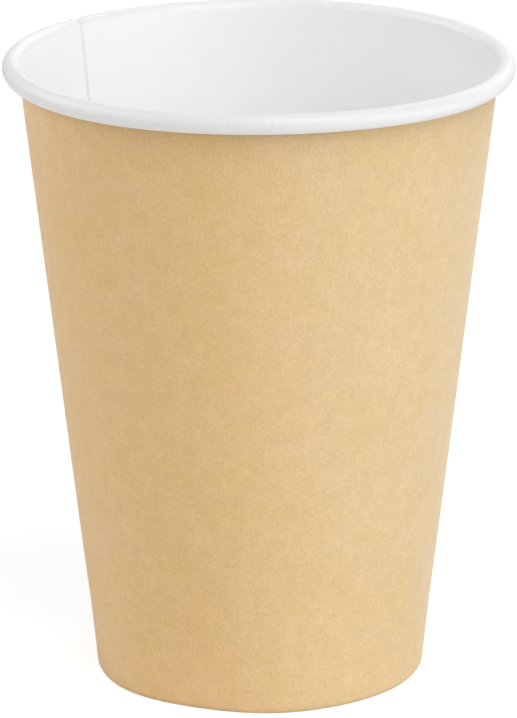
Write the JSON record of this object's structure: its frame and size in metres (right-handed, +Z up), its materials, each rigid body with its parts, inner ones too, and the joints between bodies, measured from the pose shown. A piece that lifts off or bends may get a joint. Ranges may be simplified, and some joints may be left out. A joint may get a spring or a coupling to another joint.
{
  "type": "paper coffee cup",
  "caption": "Tapered paper cup with a rolled rim, a lapped side seam and a base set up inside its folded foot.",
  "frame": {"origin": "centre of the foot, on the surface that the cup stands on", "axes": "+Z up along the cup's axis; the front of the cup faces -Y, and the side seam is at the back left"},
  "size_m": [0.09, 0.09, 0.112],
  "materials": {
    "kraft_board": "matt uncoated kraft outside, white coated inside and over the rolled rim",
    "white_board": "white board, coated on top and matt underneath"
  },
  "bodies": {
    "root": {"side_wall": "kraft_board", "base_disc": "white_board"}
  },
  "joints": []
}
